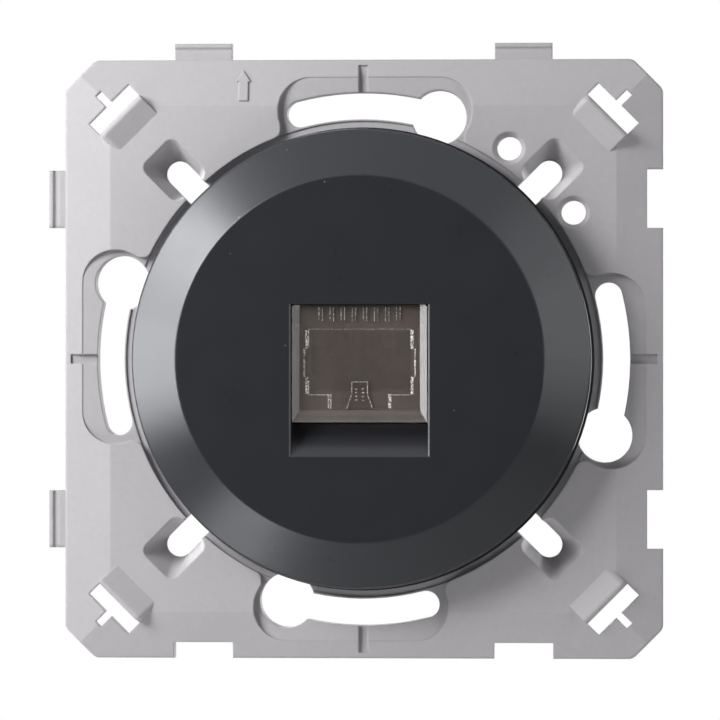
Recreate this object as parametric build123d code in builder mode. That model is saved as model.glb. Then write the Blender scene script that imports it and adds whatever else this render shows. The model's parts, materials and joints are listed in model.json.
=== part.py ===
from build123d import *
import os
from math import copysign, cos, radians, sin, sqrt

# Data socket for a 60 mm wall box: square support frame, round cover, see-through shutter and shielded jack.
# Millimetres. X runs to the right, Y runs into the wall and Z runs up.
# The origin is on the wall plane, at the centre of the box screws. Depths along Y are negative in front.

# Support frame outline
BODY = 71.0                 # pitch at which two frames stand side by side
CORNER_CUT = 3.6            # leg of the cut corners
CORNER_ROUND = 1.2          # softens both ends of each cut corner
PLATE_T = 3.8               # wall plane to front plateau
BORDER_WIDTH = 5.5          # border round the flat front plateau
BORDER_DROP = 1.2           # fall of the border from the plateau to the edge
FRAME_EDGE_ROUND = 0.3
SKIRT_WALL = 1.6            # wall round the hollows at the back
FRONT_WALL = 1.9            # wall left in front of those hollows
PAD_WALL = 1.0              # wall between the slot recesses and those hollows

# Ganging tabs and notches
TAB_OFFSET = 19.0           # tab centres either side of the middle
TAB_WIDTH = 6.8
TAB_REACH = 1.95
TAB_T = 1.6
TAB_DROP = 1.3              # tab face below the plateau
NOTCH_CLEARANCE = 0.1
NOTCH_DEPTH = 1.9
TAB_PAD = 1.5               # full thickness kept round each notch
TAB_GROOVE_DEPTH = 0.15
TAB_BEAD = 0.05             # end of the tab stands this far in front of its root
TAB_ROUND = 0.25

# Cover seat in the frame
SEAT_GAP = 1.1              # seat round the cover's rim
SEAT_DEPTH = 1.0
OPENING_INSET = 3.1         # opening inside the cover's rim
REAR_STEP_REACH = 1.1       # step at the back of the opening, behind which the carrier hooks
REAR_STEP = 0.8
KEY_WIDTH = 3.0             # keys that stop the carrier from turning
KEY_DEPTH = 0.9

# Box screw slots
SCREW_R = 30.0              # box screws stand on a 60 mm circle
SLOT_WIDTH = 3.2
SLOT_END_ANGLE = 14.4       # slot end, from the side's centre line
KEYHOLE_ANGLE = 17.5        # keyhole, on the other side of that line
KEYHOLE_R = 3.25
SLOT_MARGIN = 1.05          # recess floor beyond the slot's end
KEYHOLE_MARGIN = 0.7
RECESS_REACH = 3.4          # recess beyond the screw circle
RECESS_ROUND = 3.9
RECESS_BLOCK = 8.0          # depth of the wide end of the recess
NECK_INSET_SLOT = 0.3       # how far the neck is narrower than the wide end, on each side
NECK_INSET_KEYHOLE = 0.9
RECESS_NECK_ROUND = 1.0
RECESS_DEPTH = 0.8          # fades out on the falling border
GROOVE_WIDTH = 1.1
GROOVE_MARGIN = 0.7         # outer end of the groove, where the border has fallen to its floor
GROOVE_DEPTH = 1.25

# Diagonal screw pockets
POCKET_INSIDE = 1.5         # inner wall of the pocket inside the screw circle
POCKET_OUTSIDE = 4.8        # rim of the pocket beyond the screw circle
POCKET_WIDTH = 5.4
POCKET_ROUND = 1.25
POCKET_FLOOR_T = 0.8
POCKET_SLOT_OUTSIDE = 2.65  # ends of the pocket's slot outside and inside the screw circle
POCKET_SLOT_INSIDE = 4.1
POCKET_SLOT_WIDTH = 3.1

# Corner retainers for the cover plate
RETAINER_INSET = 9.3        # inner edge of the slot to the corner of the square, along the diagonal
RETAINER_SLOT = 1.9
RETAINER_WIDTH = 6.7
STEM_WIDTH = 0.9
STEM_LENGTH = 1.75
RAMP_LENGTH = 3.0
RAMP_HEIGHT = 1.2
RAMP_ROUND = 0.5
RAMP_CORNER_ROUND = 0.7

# Two small fixing holes and the arrow that shows which way is up
SMALL_HOLE_R = 1.45
SMALL_HOLE_LEAD = 0.5       # conical lead-in, as deep as it is wide
SMALL_HOLE_RADIUS = 30.35   # distance of the small holes from the centre
SMALL_HOLE_SPREAD = 10.2    # degrees either side of the diagonal
ARROW_X = -14.2
ARROW_TIP_Z = 34.2
ARROW_LENGTH = 3.6
ARROW_HEAD = 1.3
ARROW_HEAD_WIDTH = 1.74
ARROW_SHAFT_WIDTH = 1.12
ARROW_HEIGHT = 0.16

# Round cover
COVER_WALL = 1.6
RING_WIDTH = 5.5            # sloping ring between the disc and the rim
DISC_RISE = 7.4             # disc in front of the frame's plateau
RIM_R = 27.1
RIM_RISE = 4.1
COVER_LIP = 0.3
COVER_LIP_HEIGHT = 0.8
COVER_SEAT_GAP = 0.4
COVER_EDGE_ROUND = 0.5
BEAD_REACH = 0.75
BEAD_HEIGHT = 0.6
BEAD_ARC = 16.0

# Opening in the cover
WINDOW_WIDTH = 16.1
WINDOW_TOP = 6.43
WINDOW_BOTTOM = -7.6
RAMP_FOOT_Z = -11.45
RAMP_DEPTH = 3.1
WELL_WALL = 1.4
WINDOW_CHAMFER = 0.18
STOP_WIDTH = 0.55
STOP_HEIGHT = 4.4
STOP_FOOT = 0.6             # foot of the stops above the bottom of the well

# Shutter
SHUTTER_GAP = 0.15
SHUTTER_SET_BACK = 0.3
SHUTTER_T = 1.8
SHUTTER_BOTTOM = -7.42
SHUTTER_TOP_GAP = 0.07
SHUTTER_TOP_ROUND = 0.35
PIVOT_DEPTH = 1.35          # pivot behind the shutter's front face
EAR_R = 1.3                 # round ends behind the side strips, which carry the trunnions
FIELD_DEPTH = 0.6           # sunk field between the bevelled strips
SIDE_STRIP = 0.83
BOTTOM_STRIP = 1.4
FIELD_TOP = 6.9
SWEEP_R = 1.85              # room for the top of the shutter as it turns
PLUG_MARK_WIDTH = 12.8
PLUG_MARK_TOP = 3.42
PLUG_MARK_BOTTOM = -4.11
PLUG_MARK_STEP = 0.35
PLUG_MARK_STEP_TOP = 1.2
PLUG_MARK_STEP_BOTTOM = -2.1
PLUG_MARK_NECK_WIDTH = 6.86
PLUG_MARK_NECK_BOTTOM = -5.8
PLUG_MARK_DEPTH = 0.22
PLUG_MARK_SLOPE = 40.0      # degrees the contour's walls lean outwards
LATCH_MARK_TOP = -2.6
LATCH_MARK_WIDTH = 2.0
LATCH_MARK_FOOT = 3.2
LATCH_MARK_LINE = 0.16
TICK_ROWS = 4
TICK_PITCH = 0.44
TICK_TOP = -3.5
TICK_X = 0.4
TICK_WIDTH = 0.36
TICK_HEIGHT = 0.2
RIB_COUNT = 8
RIB_PITCH = 1.3
RIB_WIDTH = 0.5
RIB_TOP = 6.1
RIB_LENGTH = 1.7
RIB_HEIGHT = 0.22

# Shutter hinge
PIVOT_DROP = 1.48           # pivot below the window's top edge
TRUNNION_R = 1.0
TRUNNION_RUNNING = 0.06
TRUNNION_LENGTH = 1.4       # left trunnion, through the wall of the well
TRUNNION_SHORT = 0.9        # right trunnion, in a blind hole
TRUNNION_END_WALL = 0.3
STUB_R = 0.5                # end of the left trunnion, which carries the spring
STUB_END_GAP = 0.2
TANG_HOLE_GAP = 0.04
TANG_HOLE_DEPTH = 1.0
SPRING_POCKET = 2.35
SPRING_POCKET_HALF = 1.15
SPRING_WIRE_R = 0.14
SPRING_R = 0.74
SPRING_TURNS = 6
SPRING_END_GAP = 0.25
SPRING_TANG = 1.1
BOSS_END_WALL = 1.2
BOSS_WALL = 0.8
BOSS_REAR = 0.65            # pocket behind the trunnion

# Module carrier
CARRIER_WEB = 1.4
CARRIER_SPIGOT_GAP = 0.2
CARRIER_RIM_GAP = 0.3       # carrier's rim inside the cover's skirt
BEAD_GAP = 0.15             # carrier's flange inside the cover's beads
CARRIER_RIM_T = 0.9
CARRIER_SPIGOT_WALL = 1.4
HOOK_ARC = 18.0
HOOK_REACH = 0.9
HOOK_LENGTH = 1.8
HOOK_GAP = 0.15
HOOK_LAND = 0.5
KEY_GAP = 0.1
SPIGOT_END = 1.1            # end of the plain spigot in front of the wall plane
CLIP_WIDTH = 5.6
CLIP_T = 1.3
CLIP_GAP = 0.2
CLIP_HOOK = 0.7
CLIP_HOOK_LENGTH = 1.7
CLIP_REACH = 11.0

# Jack body
NOSE_HALF_WIDTH = 7.4
NOSE_TOP = 6.2
NOSE_BOTTOM = -7.2
NOSE_LENGTH = 4.5
NOSE_GAP = 0.1
JACK_HALF_WIDTH = 8.3
JACK_TOP = 7.4
JACK_BOTTOM = -8.4
JACK_LENGTH = 15.8          # shoulder to rear edge
JACK_ROUND = 0.6
FRONT_WALL_T = 1.7
PLUG_WIDTH = 11.9
PLUG_TOP = 3.25
PLUG_BOTTOM = -3.65
LATCH_WIDTH = 6.3
LATCH_BOTTOM = -5.3
LATCH_SLOT_WIDTH = 3.4
LATCH_SLOT_BOTTOM = -6.3
LATCH_LENGTH = 6.5
PLUG_DEPTH = 13.0

# Contact block and contacts
INSERT_WALL = 0.65
INSERT_TOP = 5.3
INSERT_GAP = 0.1
INSERT_REAR_WALL = 1.4
CONTACT_COUNT = 8
CONTACT_PITCH = 1.02
CONTACT_WIDTH = 0.4
CONTACT_T = 0.35
CONTACT_SLOT = 0.62
CONTACT_Z = 4.7
CONTACT_BEND_R = 0.7
CONTACT_BEND_Y = -3.6
CONTACT_LEG = 4.4
CONTACT_TAIL = 2.2
CONTACT_TURN = 150.0
CONTACT_TAIL_TURN = 40.0
SPRING_LEAF_T = 0.2
SPRING_LEAF_HEIGHT = 3.4
SPRING_LEAF_BOW = 0.75
SPRING_LEAF_START = -4.4
SPRING_LEAF_END = 3.8

# Circuit board
BOARD_T = 1.2
BOARD_GAP = 0.1
BOARD_HOLE_GAP = 0.06
CAVITY_WALL = 1.0

# Terminal block and blades
TERMINAL_LENGTH = 5.6
BLADE_COLUMNS = (-5.1, -1.7, 1.7, 5.1)
BLADE_ROWS = (-4.9, 3.9)
BLADE_WIDTH = 2.4
BLADE_T = 0.4
BLADE_LENGTH = 5.0
BLADE_SLIT = 0.4
BLADE_SLIT_DEPTH = 3.0
BLADE_TAIL_WIDTH = 0.6
BLADE_GAP = 0.1
WIRE_GROOVE = 1.2
WIRE_GROOVE_DEPTH = 3.2
TERMINAL_ROW_HEIGHT = 3.4
TERMINAL_BASE_T = 2.0

# Wire manager
MANAGER_GAP = 0.2
MANAGER_LENGTH = 9.2
CABLE_R = 3.6
MANAGER_ROUND = 0.8

# Rear doors
DOOR_WALL = 1.2
DOOR_PIN_R = 0.75
PIN_SEAT = 0.01             # a door pin in the jack's lugs, where it is pressed in
PIN_RUNNING = 0.04          # a door pin in the door's knuckle, which turns on it
DOOR_PIN_OUT = 1.6          # pin axis outside the jack's side
DOOR_PIN_BACK = 1.2         # pin axis in front of the jack's rear edge
KNUCKLE_R = 1.3
KNUCKLE_GAP = 0.2
LUG_HEIGHT = 2.0
DOOR_MEETING_GAP = 0.3
DOOR_GAP = 0.3
DOOR_ROUND = 0.6
CABLE_OUTLET_R = 3.8

# Widths and radii that follow
HALF = BODY / 2
PLATEAU = BODY - 2 * BORDER_WIDTH
GROOVE_END = HALF - GROOVE_MARGIN
RETAINER_U = HALF * sqrt(2) - RETAINER_INSET
DISC_R = RIM_R - RING_WIDTH
SEAT_R = RIM_R + SEAT_GAP
OPENING_R = RIM_R - OPENING_INSET
CARRIER_RIM_R = RIM_R - COVER_WALL - CARRIER_RIM_GAP
CARRIER_FLANGE_R = RIM_R - COVER_WALL - BEAD_REACH - BEAD_GAP
RECESS_TOP = SCREW_R + RECESS_REACH

# Depths that follow
FACE_Y = -PLATE_T
SEAT_Y = FACE_Y + SEAT_DEPTH
DISC_Y = FACE_Y - DISC_RISE
RIM_Y = FACE_Y - RIM_RISE
COVER_BASE_Y = SEAT_Y - COVER_SEAT_GAP
COVER_BACK_Y = DISC_Y + COVER_WALL
WEB_FRONT_Y = SEAT_Y - CARRIER_WEB
WELL_END_Y = WEB_FRONT_Y - 0.3
SHUTTER_Y = DISC_Y + SHUTTER_SET_BACK
SHUTTER_BACK_Y = SHUTTER_Y + SHUTTER_T
PIVOT_Y = SHUTTER_Y + PIVOT_DEPTH
PIVOT_Z = WINDOW_TOP - PIVOT_DROP
SHOULDER_Y = SEAT_Y
NOSE_Y = SHOULDER_Y - NOSE_LENGTH
JACK_REAR_Y = SHOULDER_Y + JACK_LENGTH
INSERT_Y = NOSE_Y + FRONT_WALL_T + INSERT_GAP
PLUG_END_Y = NOSE_Y + PLUG_DEPTH
INSERT_END_Y = PLUG_END_Y + INSERT_REAR_WALL
BOARD_Y = INSERT_END_Y + 2 * BOARD_GAP
BOARD_END_Y = BOARD_Y + BOARD_T
TERMINAL_Y = BOARD_END_Y + BOARD_GAP
TERMINAL_END_Y = TERMINAL_Y + TERMINAL_LENGTH
MANAGER_Y = TERMINAL_END_Y + MANAGER_GAP
MANAGER_END_Y = MANAGER_Y + MANAGER_LENGTH
DOOR_PIN_X = JACK_HALF_WIDTH + DOOR_PIN_OUT
DOOR_PIN_Y = JACK_REAR_Y - DOOR_PIN_BACK
DIAGONAL = 45.0
PAST = 0.5                  # how far a cutting shape runs past a face
JOIN = 0.02                 # how far two shapes of one piece run into each other


def facing_front(y):
    """A plane at depth y whose local x is X and whose local y is Z."""
    return Plane.XZ.offset(-y)


def rectangle(low_x, high_x, low_z, high_z, mode=Mode.ADD):
    """A rectangle between two edges each way, in the sketch that is open."""
    with Locations(((low_x + high_x) / 2, (low_z + high_z) / 2)):
        Rectangle(high_x - low_x, high_z - low_z, mode=mode)


def quarters(shape):
    """The shape and its three copies, a quarter turn apart about Y."""
    return [shape.rotate(Axis.Y, 90 * turn) for turn in range(4)]


def finish(builder, name):
    """Name the piece and write it."""
    builder.part.label = name
    export_step(builder.part, f"parts/{name}.step")


os.makedirs("parts", exist_ok=True)

# Tapered screw pocket on one diagonal: its long section cut to its cross section
pocket_inner = SCREW_R - POCKET_INSIDE
pocket_outer = SCREW_R + POCKET_OUTSIDE
floor_outer = SCREW_R + POCKET_SLOT_OUTSIDE
along_diagonal = Plane(origin=(0, 0, 0), x_dir=(1, 0, 1), z_dir=(-1, 0, 1))
across_diagonal = Plane(origin=(0, 0, 0), x_dir=(-1, 0, 1), z_dir=(-1, 0, -1))
with BuildPart() as screw_pocket:
    with BuildSketch(along_diagonal):
        with BuildLine():
            Polyline(
                (pocket_inner, FACE_Y),
                (pocket_outer, FACE_Y),
                (floor_outer, -POCKET_FLOOR_T),
                (pocket_inner, -POCKET_FLOOR_T),
                close=True,
            )
        make_face()
    extrude(amount=POCKET_WIDTH, both=True)
    with BuildSketch(across_diagonal):
        with BuildLine():
            Polyline(
                (-POCKET_WIDTH / 2, FACE_Y),
                (POCKET_WIDTH / 2, FACE_Y),
                (POCKET_SLOT_WIDTH / 2, -POCKET_FLOOR_T),
                (-POCKET_SLOT_WIDTH / 2, -POCKET_FLOOR_T),
                close=True,
            )
        make_face()
    extrude(amount=-(pocket_outer + PAST), mode=Mode.INTERSECT)
    pocket_corners = [edge for edge in screw_pocket.edges() if edge.bounding_box().size.Y > 1]
    fillet(pocket_corners, POCKET_ROUND)
    extrude(screw_pocket.faces().sort_by(Axis.Y)[0], amount=PAST)

# One curved slot for a box screw, with its keyhole, above the middle
with BuildPart() as box_slot:
    with BuildSketch(facing_front(PAST)):
        with BuildLine():
            slot_start = 90 - KEYHOLE_ANGLE
            slot_sweep = KEYHOLE_ANGLE + SLOT_END_ANGLE
            inner_side = CenterArc((0, 0), SCREW_R - SLOT_WIDTH / 2, slot_start, slot_sweep)
            outer_side = CenterArc((0, 0), SCREW_R + SLOT_WIDTH / 2, slot_start, slot_sweep)
            Line(inner_side @ 0, outer_side @ 0)
            Line(inner_side @ 1, outer_side @ 1)
        make_face()
        with PolarLocations(SCREW_R, 1, 90 + SLOT_END_ANGLE):
            Circle(SLOT_WIDTH / 2)
        with PolarLocations(SCREW_R, 1, 90 - KEYHOLE_ANGLE):
            Circle(KEYHOLE_R)
    extrude(amount=PLATE_T + 2 * PAST)

# Recess round that slot: a wide end with round corners and a neck that opens into the cover's seat
recess_right = SCREW_R * sin(radians(KEYHOLE_ANGLE)) + KEYHOLE_R + KEYHOLE_MARGIN
recess_left = -(SCREW_R * sin(radians(SLOT_END_ANGLE)) + SLOT_WIDTH / 2 + SLOT_MARGIN)
with BuildPart() as slot_recess:
    with BuildSketch(facing_front(FACE_Y + RECESS_DEPTH)) as recess_outline:
        Circle(SEAT_R)
        with Locations(((recess_left + recess_right) / 2, RECESS_TOP - RECESS_BLOCK / 2)):
            RectangleRounded(recess_right - recess_left, RECESS_BLOCK, RECESS_ROUND)
        rectangle(
            recess_left + NECK_INSET_SLOT, recess_right - NECK_INSET_KEYHOLE,
            0, RECESS_TOP - RECESS_BLOCK / 2,
        )
        necks = [v for v in recess_outline.vertices() if v.Y > 0 and sqrt(v.X**2 + v.Y**2) < SCREW_R]
        fillet(necks, RECESS_NECK_ROUND)
    extrude(amount=RECESS_DEPTH + RAMP_HEIGHT + PAST)

# Ramped tab in front of one corner slot, drawn along the diagonal
with BuildPart() as corner_ramp:
    with BuildSketch(along_diagonal) as ramp_section:
        with BuildLine():
            Polyline(
                (RETAINER_U - RAMP_LENGTH, FACE_Y),
                (RETAINER_U, FACE_Y - RAMP_HEIGHT),
                (RETAINER_U, FACE_Y + BORDER_DROP + PAST),
                (RETAINER_U - RAMP_LENGTH, FACE_Y + BORDER_DROP + PAST),
                close=True,
            )
        make_face()
        fillet(ramp_section.vertices().sort_by(Axis.Y)[0], RAMP_ROUND)
    extrude(amount=RETAINER_WIDTH / 2, both=True)
    inner_corners = [
        edge for edge in corner_ramp.edges()
        if edge.bounding_box().size.Y > 1 and edge.center().X < (RETAINER_U - RAMP_LENGTH / 2) * cos(radians(DIAGONAL))
    ]
    fillet(inner_corners, RAMP_CORNER_ROUND)

# Ganging tab with a groove across it and a rounded end, on the top edge
tab_face = FACE_Y + TAB_DROP
with BuildPart() as top_tabs:
    for side in (-1, 1):
        with BuildSketch(Plane.YZ.offset(side * TAB_OFFSET)) as tab_section:
            with BuildLine():
                Polyline(
                    (tab_face, HALF - PAST),
                    (tab_face, HALF + TAB_REACH * 0.4),
                    (tab_face + TAB_GROOVE_DEPTH, HALF + TAB_REACH * 0.5),
                    (tab_face + TAB_GROOVE_DEPTH, HALF + TAB_REACH * 0.65),
                    (tab_face - TAB_BEAD, HALF + TAB_REACH * 0.75),
                    (tab_face - TAB_BEAD, HALF + TAB_REACH),
                    (tab_face + TAB_T, HALF + TAB_REACH),
                    (tab_face + TAB_T, HALF - PAST),
                    close=True,
                )
            make_face()
            end_corners = tab_section.vertices().group_by(Axis.Y)[-1]
            fillet(end_corners, TAB_ROUND)
        extrude(amount=TAB_WIDTH / 2, both=True)

# Bar with the frame's section: flat in the middle, falling towards both edges
border_y = FACE_Y + BORDER_DROP
with BuildPart() as frame_bar:
    with BuildSketch(Plane.XY):
        with BuildLine():
            Polyline(
                (-HALF, 0),
                (-HALF, border_y),
                (-PLATEAU / 2, FACE_Y),
                (PLATEAU / 2, FACE_Y),
                (HALF, border_y),
                (HALF, 0),
                close=True,
            )
        make_face()
    extrude(amount=HALF, both=True)

# Arrow that follows the slope of the upper border
with BuildPart() as up_arrow:
    add(frame_bar.part.rotate(Axis.Y, 90).moved(Location((0, -ARROW_HEIGHT, 0))))
    with BuildSketch(facing_front(border_y)):
        with BuildLine():
            Polyline(
                (ARROW_X, ARROW_TIP_Z),
                (ARROW_X + ARROW_HEAD_WIDTH / 2, ARROW_TIP_Z - ARROW_HEAD),
                (ARROW_X + ARROW_SHAFT_WIDTH / 2, ARROW_TIP_Z - ARROW_HEAD),
                (ARROW_X + ARROW_SHAFT_WIDTH / 2, ARROW_TIP_Z - ARROW_LENGTH),
                (ARROW_X - ARROW_SHAFT_WIDTH / 2, ARROW_TIP_Z - ARROW_LENGTH),
                (ARROW_X - ARROW_SHAFT_WIDTH / 2, ARROW_TIP_Z - ARROW_HEAD),
                (ARROW_X - ARROW_HEAD_WIDTH / 2, ARROW_TIP_Z - ARROW_HEAD),
                close=True,
            )
        make_face()
    extrude(amount=BORDER_DROP + ARROW_HEIGHT + PAST, mode=Mode.INTERSECT)

# Support frame: one moulding, two crossed bars cut to what they share and to the outline
with BuildPart() as support_frame:
    add(frame_bar.part)
    add(frame_bar.part.rotate(Axis.Y, 90), mode=Mode.INTERSECT)
    with BuildSketch(facing_front(PAST)) as rounded_outline:
        Rectangle(BODY, BODY)
        chamfer(rounded_outline.vertices(), CORNER_CUT)
        fillet(rounded_outline.vertices(), CORNER_ROUND)
    extrude(amount=PLATE_T + 2 * PAST, mode=Mode.INTERSECT)
    border_edges = [
        edge for edge in support_frame.edges()
        if all(border_y - 0.1 < v.Y < border_y + 0.01 for v in edge.vertices())
    ]
    fillet(border_edges, FRAME_EDGE_ROUND)
    add(top_tabs.part)
    add(top_tabs.part.rotate(Axis.Y, -90))
    add(quarters(corner_ramp.part))

    # Seat of the cover, the four slot recesses and the alignment groove of each side
    with BuildSketch(facing_front(SEAT_Y)):
        Circle(SEAT_R)
    extrude(amount=SEAT_DEPTH + RAMP_HEIGHT + PAST, mode=Mode.SUBTRACT)
    add(quarters(slot_recess.part), mode=Mode.SUBTRACT)
    with BuildSketch(facing_front(FACE_Y + GROOVE_DEPTH)):
        with PolarLocations((SCREW_R + GROOVE_END) / 2, 4):
            Rectangle(GROOVE_END - SCREW_R, GROOVE_WIDTH)
    extrude(amount=GROOVE_DEPTH + PAST, mode=Mode.SUBTRACT)

    # Central opening with its key ways, corner slots, pocket slots and small holes, right through
    with BuildSketch(facing_front(PAST)):
        Circle(OPENING_R)
        Rectangle(2 * (OPENING_R + KEY_DEPTH), KEY_WIDTH)
        with PolarLocations(SCREW_R + (POCKET_SLOT_OUTSIDE - POCKET_SLOT_INSIDE) / 2, 4, DIAGONAL):
            SlotOverall(POCKET_SLOT_OUTSIDE + POCKET_SLOT_INSIDE, POCKET_SLOT_WIDTH)
        with PolarLocations(RETAINER_U + RETAINER_SLOT / 2, 4, DIAGONAL):
            Rectangle(RETAINER_SLOT, RETAINER_WIDTH)
        with PolarLocations(RETAINER_U + RETAINER_SLOT + STEM_LENGTH / 2, 4, DIAGONAL):
            Rectangle(STEM_LENGTH + JOIN, STEM_WIDTH)
        for spread in (-SMALL_HOLE_SPREAD, SMALL_HOLE_SPREAD):
            with PolarLocations(SMALL_HOLE_RADIUS, 1, DIAGONAL + spread):
                Circle(SMALL_HOLE_R)
    extrude(amount=PLATE_T + RAMP_HEIGHT + 2 * PAST, mode=Mode.SUBTRACT)
    add(quarters(box_slot.part), mode=Mode.SUBTRACT)
    add(quarters(screw_pocket.part), mode=Mode.SUBTRACT)
    with BuildSketch(facing_front(PAST)):
        Circle(OPENING_R + REAR_STEP_REACH)
    extrude(amount=REAR_STEP + PAST, mode=Mode.SUBTRACT)

    # Ganging notches on the right and at the bottom
    with BuildSketch(facing_front(PAST)):
        notch_width = TAB_WIDTH + 2 * NOTCH_CLEARANCE
        for side in (-1, 1):
            with Locations((HALF, side * TAB_OFFSET)):
                Rectangle(2 * NOTCH_DEPTH, notch_width)
            with Locations((side * TAB_OFFSET, -HALF)):
                Rectangle(notch_width, 2 * NOTCH_DEPTH)
    extrude(amount=PLATE_T + 2 * PAST, mode=Mode.SUBTRACT)

    # Conical lead-ins of the small holes
    for spread in (-SMALL_HOLE_SPREAD, SMALL_HOLE_SPREAD):
        with BuildSketch(facing_front(FACE_Y + SMALL_HOLE_LEAD)):
            with PolarLocations(SMALL_HOLE_RADIUS, 1, DIAGONAL + spread):
                Circle(SMALL_HOLE_R)
        extrude(amount=SMALL_HOLE_LEAD, taper=-45, mode=Mode.SUBTRACT)

    # Hollows at the back of the corners, between the skirt, the slot ring and the notches
    with BuildSketch(facing_front(PAST)) as hollows:
        Rectangle(BODY - 2 * SKIRT_WALL, BODY - 2 * SKIRT_WALL)
        chamfer(hollows.vertices(), CORNER_CUT)
        Circle(GROOVE_END + PAD_WALL, mode=Mode.SUBTRACT)
        for side in (-1, 1):
            with PolarLocations(0, 4):
                with Locations((HALF, side * TAB_OFFSET)):
                    Rectangle(
                        2 * (NOTCH_DEPTH + TAB_PAD), TAB_WIDTH + 2 * TAB_PAD, mode=Mode.SUBTRACT
                    )
    extrude(amount=PLATE_T - FRONT_WALL + PAST, mode=Mode.SUBTRACT)

    # Arrow, raised on the upper border
    add(up_arrow.part)
finish(support_frame, "support_frame")

# Round cover: one moulding with a well behind its opening
with BuildPart() as cover:
    with BuildSketch(Plane.XY) as cover_section:
        with BuildLine():
            Polyline(
                (0, DISC_Y),
                (DISC_R, DISC_Y),
                (RIM_R, RIM_Y),
                (RIM_R, COVER_BASE_Y - COVER_LIP_HEIGHT),
                (RIM_R + COVER_LIP, COVER_BASE_Y - COVER_LIP_HEIGHT),
                (RIM_R + COVER_LIP, COVER_BASE_Y),
                (RIM_R - COVER_WALL, COVER_BASE_Y),
                (RIM_R - COVER_WALL, RIM_Y + COVER_WALL / 2),
                (DISC_R - COVER_WALL / 2, COVER_BACK_Y),
                (0, COVER_BACK_Y),
                close=True,
            )
        make_face()
        ring_corners = [
            v for v in cover_section.vertices() if v.X > DISC_R - JOIN and v.Y < RIM_Y + JOIN
        ]
        fillet(ring_corners, COVER_EDGE_ROUND)
    revolve(axis=Axis.Y)

    # Walls of the well, following the finger ramp, then the boss of the hinge spring
    ramp_foot_y = DISC_Y + RAMP_DEPTH
    with BuildSketch(Plane.YZ):
        with BuildLine():
            Polyline(
                (COVER_BACK_Y - PAST, WINDOW_TOP + WELL_WALL),
                (WELL_END_Y, WINDOW_TOP + WELL_WALL),
                (WELL_END_Y, WINDOW_BOTTOM - WELL_WALL),
                (ramp_foot_y + 0.6, WINDOW_BOTTOM - WELL_WALL),
                (COVER_BACK_Y, RAMP_FOOT_Z - 0.6),
                (COVER_BACK_Y - PAST, RAMP_FOOT_Z - 0.6),
                close=True,
            )
        make_face()
    extrude(amount=WINDOW_WIDTH / 2 + WELL_WALL, both=True)
    boss_start = -(WINDOW_WIDTH / 2 + WELL_WALL)
    boss_end = boss_start - SPRING_POCKET - BOSS_END_WALL
    boss_rear_y = PIVOT_Y + TRUNNION_R + BOSS_REAR
    boss_half = SPRING_POCKET_HALF + BOSS_WALL
    with BuildSketch(facing_front(boss_rear_y)):
        rectangle(boss_end, boss_start, PIVOT_Z - boss_half, PIVOT_Z + boss_half)
    extrude(amount=boss_rear_y - COVER_BACK_Y + PAST)

    # The opening itself, with its ramp
    with BuildSketch(Plane.YZ):
        with BuildLine():
            Polyline(
                (DISC_Y - PAST, WINDOW_TOP),
                (WELL_END_Y + PAST, WINDOW_TOP),
                (WELL_END_Y + PAST, WINDOW_BOTTOM),
                (ramp_foot_y, WINDOW_BOTTOM),
                (DISC_Y, RAMP_FOOT_Z),
                (DISC_Y - PAST, RAMP_FOOT_Z),
                close=True,
            )
        make_face()
    extrude(amount=WINDOW_WIDTH / 2, both=True, mode=Mode.SUBTRACT)
    window_edges = cover.edges().filter_by(GeomType.LINE).filter_by_position(
        Axis.Y, DISC_Y - 0.01, DISC_Y + 0.01
    )
    side_edges = window_edges.filter_by(Axis.Z)
    chamfer(side_edges, WINDOW_CHAMFER)

    # Room for the turning top of the shutter, then the trunnion holes and the spring pocket
    with BuildSketch(Plane.YZ):
        with Locations((PIVOT_Y, PIVOT_Z)):
            Circle(SWEEP_R)
    extrude(amount=WINDOW_WIDTH / 2, both=True, mode=Mode.SUBTRACT)
    for reach in (WINDOW_WIDTH / 2 + WELL_WALL - TRUNNION_END_WALL, boss_start - PAST):
        with BuildSketch(Plane.YZ):
            with Locations((PIVOT_Y, PIVOT_Z)):
                Circle(TRUNNION_R + TRUNNION_RUNNING)
        extrude(amount=reach, mode=Mode.SUBTRACT)
    with BuildSketch(facing_front(boss_rear_y)):
        rectangle(
            boss_start - SPRING_POCKET, boss_start,
            PIVOT_Z - SPRING_POCKET_HALF, PIVOT_Z + SPRING_POCKET_HALF,
        )
    extrude(amount=BOSS_REAR + 2 * TRUNNION_R + TRUNNION_RUNNING, mode=Mode.SUBTRACT)

    # Stops behind the shutter's side strips
    with BuildSketch(facing_front(SHUTTER_BACK_Y + 1.0)):
        for side in (-1, 1):
            stop_x = side * (WINDOW_WIDTH / 2 - STOP_WIDTH / 2)
            with Locations((stop_x, WINDOW_BOTTOM + STOP_FOOT + STOP_HEIGHT / 2)):
                Rectangle(STOP_WIDTH + 0.02, STOP_HEIGHT)
    extrude(amount=0.9)

    # Snap beads inside the skirt, which hook behind the carrier's rim
    bead_foot_r = RIM_R - COVER_WALL
    for start in range(0, 360, 90):
        with BuildSketch(Plane.XY.rotated((0, start - BEAD_ARC / 2, 0))):
            with BuildLine():
                Polyline(
                    (bead_foot_r + 0.3, COVER_BASE_Y),
                    (bead_foot_r, COVER_BASE_Y),
                    (bead_foot_r - BEAD_REACH, COVER_BASE_Y - BEAD_HEIGHT / 2),
                    (bead_foot_r - BEAD_REACH, COVER_BASE_Y - BEAD_HEIGHT),
                    (bead_foot_r + 0.3, COVER_BASE_Y - BEAD_HEIGHT),
                    close=True,
                )
            make_face()
        revolve(axis=Axis.Y, revolution_arc=BEAD_ARC)
finish(cover, "cover")

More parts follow.
